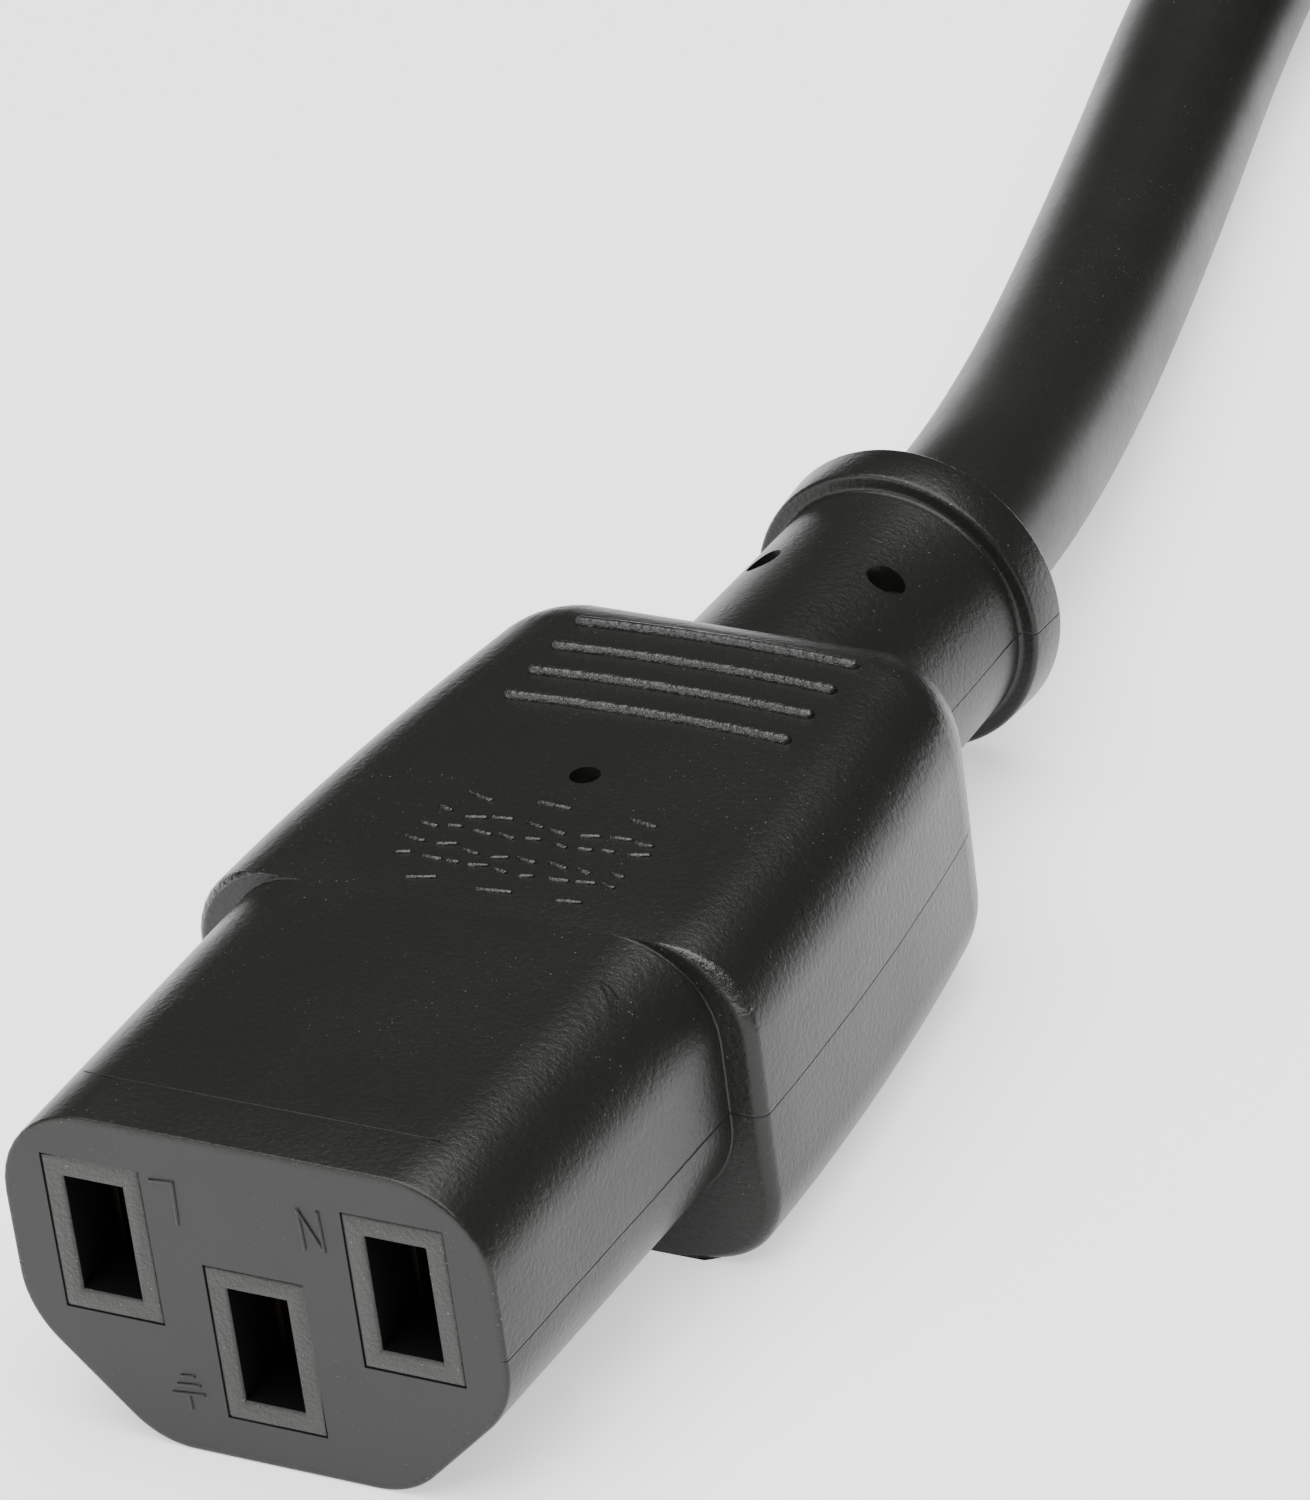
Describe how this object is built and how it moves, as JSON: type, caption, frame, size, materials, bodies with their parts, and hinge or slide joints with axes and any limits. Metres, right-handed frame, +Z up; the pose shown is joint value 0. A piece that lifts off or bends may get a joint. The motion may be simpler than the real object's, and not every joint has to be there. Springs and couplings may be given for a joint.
{
  "type": "power extension cord",
  "caption": "Black moulded power extension cord: appliance connector with slots for flat pins, thick three-core cord put away in a coil, and the matching inline plug.",
  "frame": {"origin": "on the surface that the connector rests on, under the middle of the connector", "axes": "+Z up, +Y along the connector from its slotted face to the cord, +X to the right seen from the cord's side with the slotted face away"},
  "size_m": [0.1044, 0.2278, 0.0269],
  "materials": {
    "soft_black": "satin",
    "hard_black": "matt",
    "cord_sheath": "satin",
    "strap_black": "matt",
    "contact_metal": "satin",
    "conductor_metal": "satin",
    "line_insulation": "satin",
    "neutral_insulation": "satin",
    "earth_insulation": "satin"
  },
  "bodies": {
    "root": {"connector_body": "soft_black", "connector_insert": "hard_black", "connector_line_contact": "contact_metal", "connector_line_core": "line_insulation", "connector_line_conductor": "conductor_metal", "connector_neutral_contact": "contact_metal", "connector_neutral_core": "neutral_insulation", "connector_neutral_conductor": "conductor_metal", "connector_earth_contact": "contact_metal", "connector_earth_core": "earth_insulation", "connector_earth_conductor": "conductor_metal", "plug_body": "soft_black", "plug_insert": "hard_black", "plug_line_pin": "contact_metal", "plug_line_core": "line_insulation", "plug_line_conductor": "conductor_metal", "plug_neutral_pin": "contact_metal", "plug_neutral_core": "neutral_insulation", "plug_neutral_conductor": "conductor_metal", "plug_earth_pin": "contact_metal", "plug_earth_core": "earth_insulation", "plug_earth_conductor": "conductor_metal", "cord_from_connector": "cord_sheath", "cord_to_plug": "cord_sheath", "cord_coil": "cord_sheath", "coil_tie": "strap_black"}
  },
  "joints": []
}
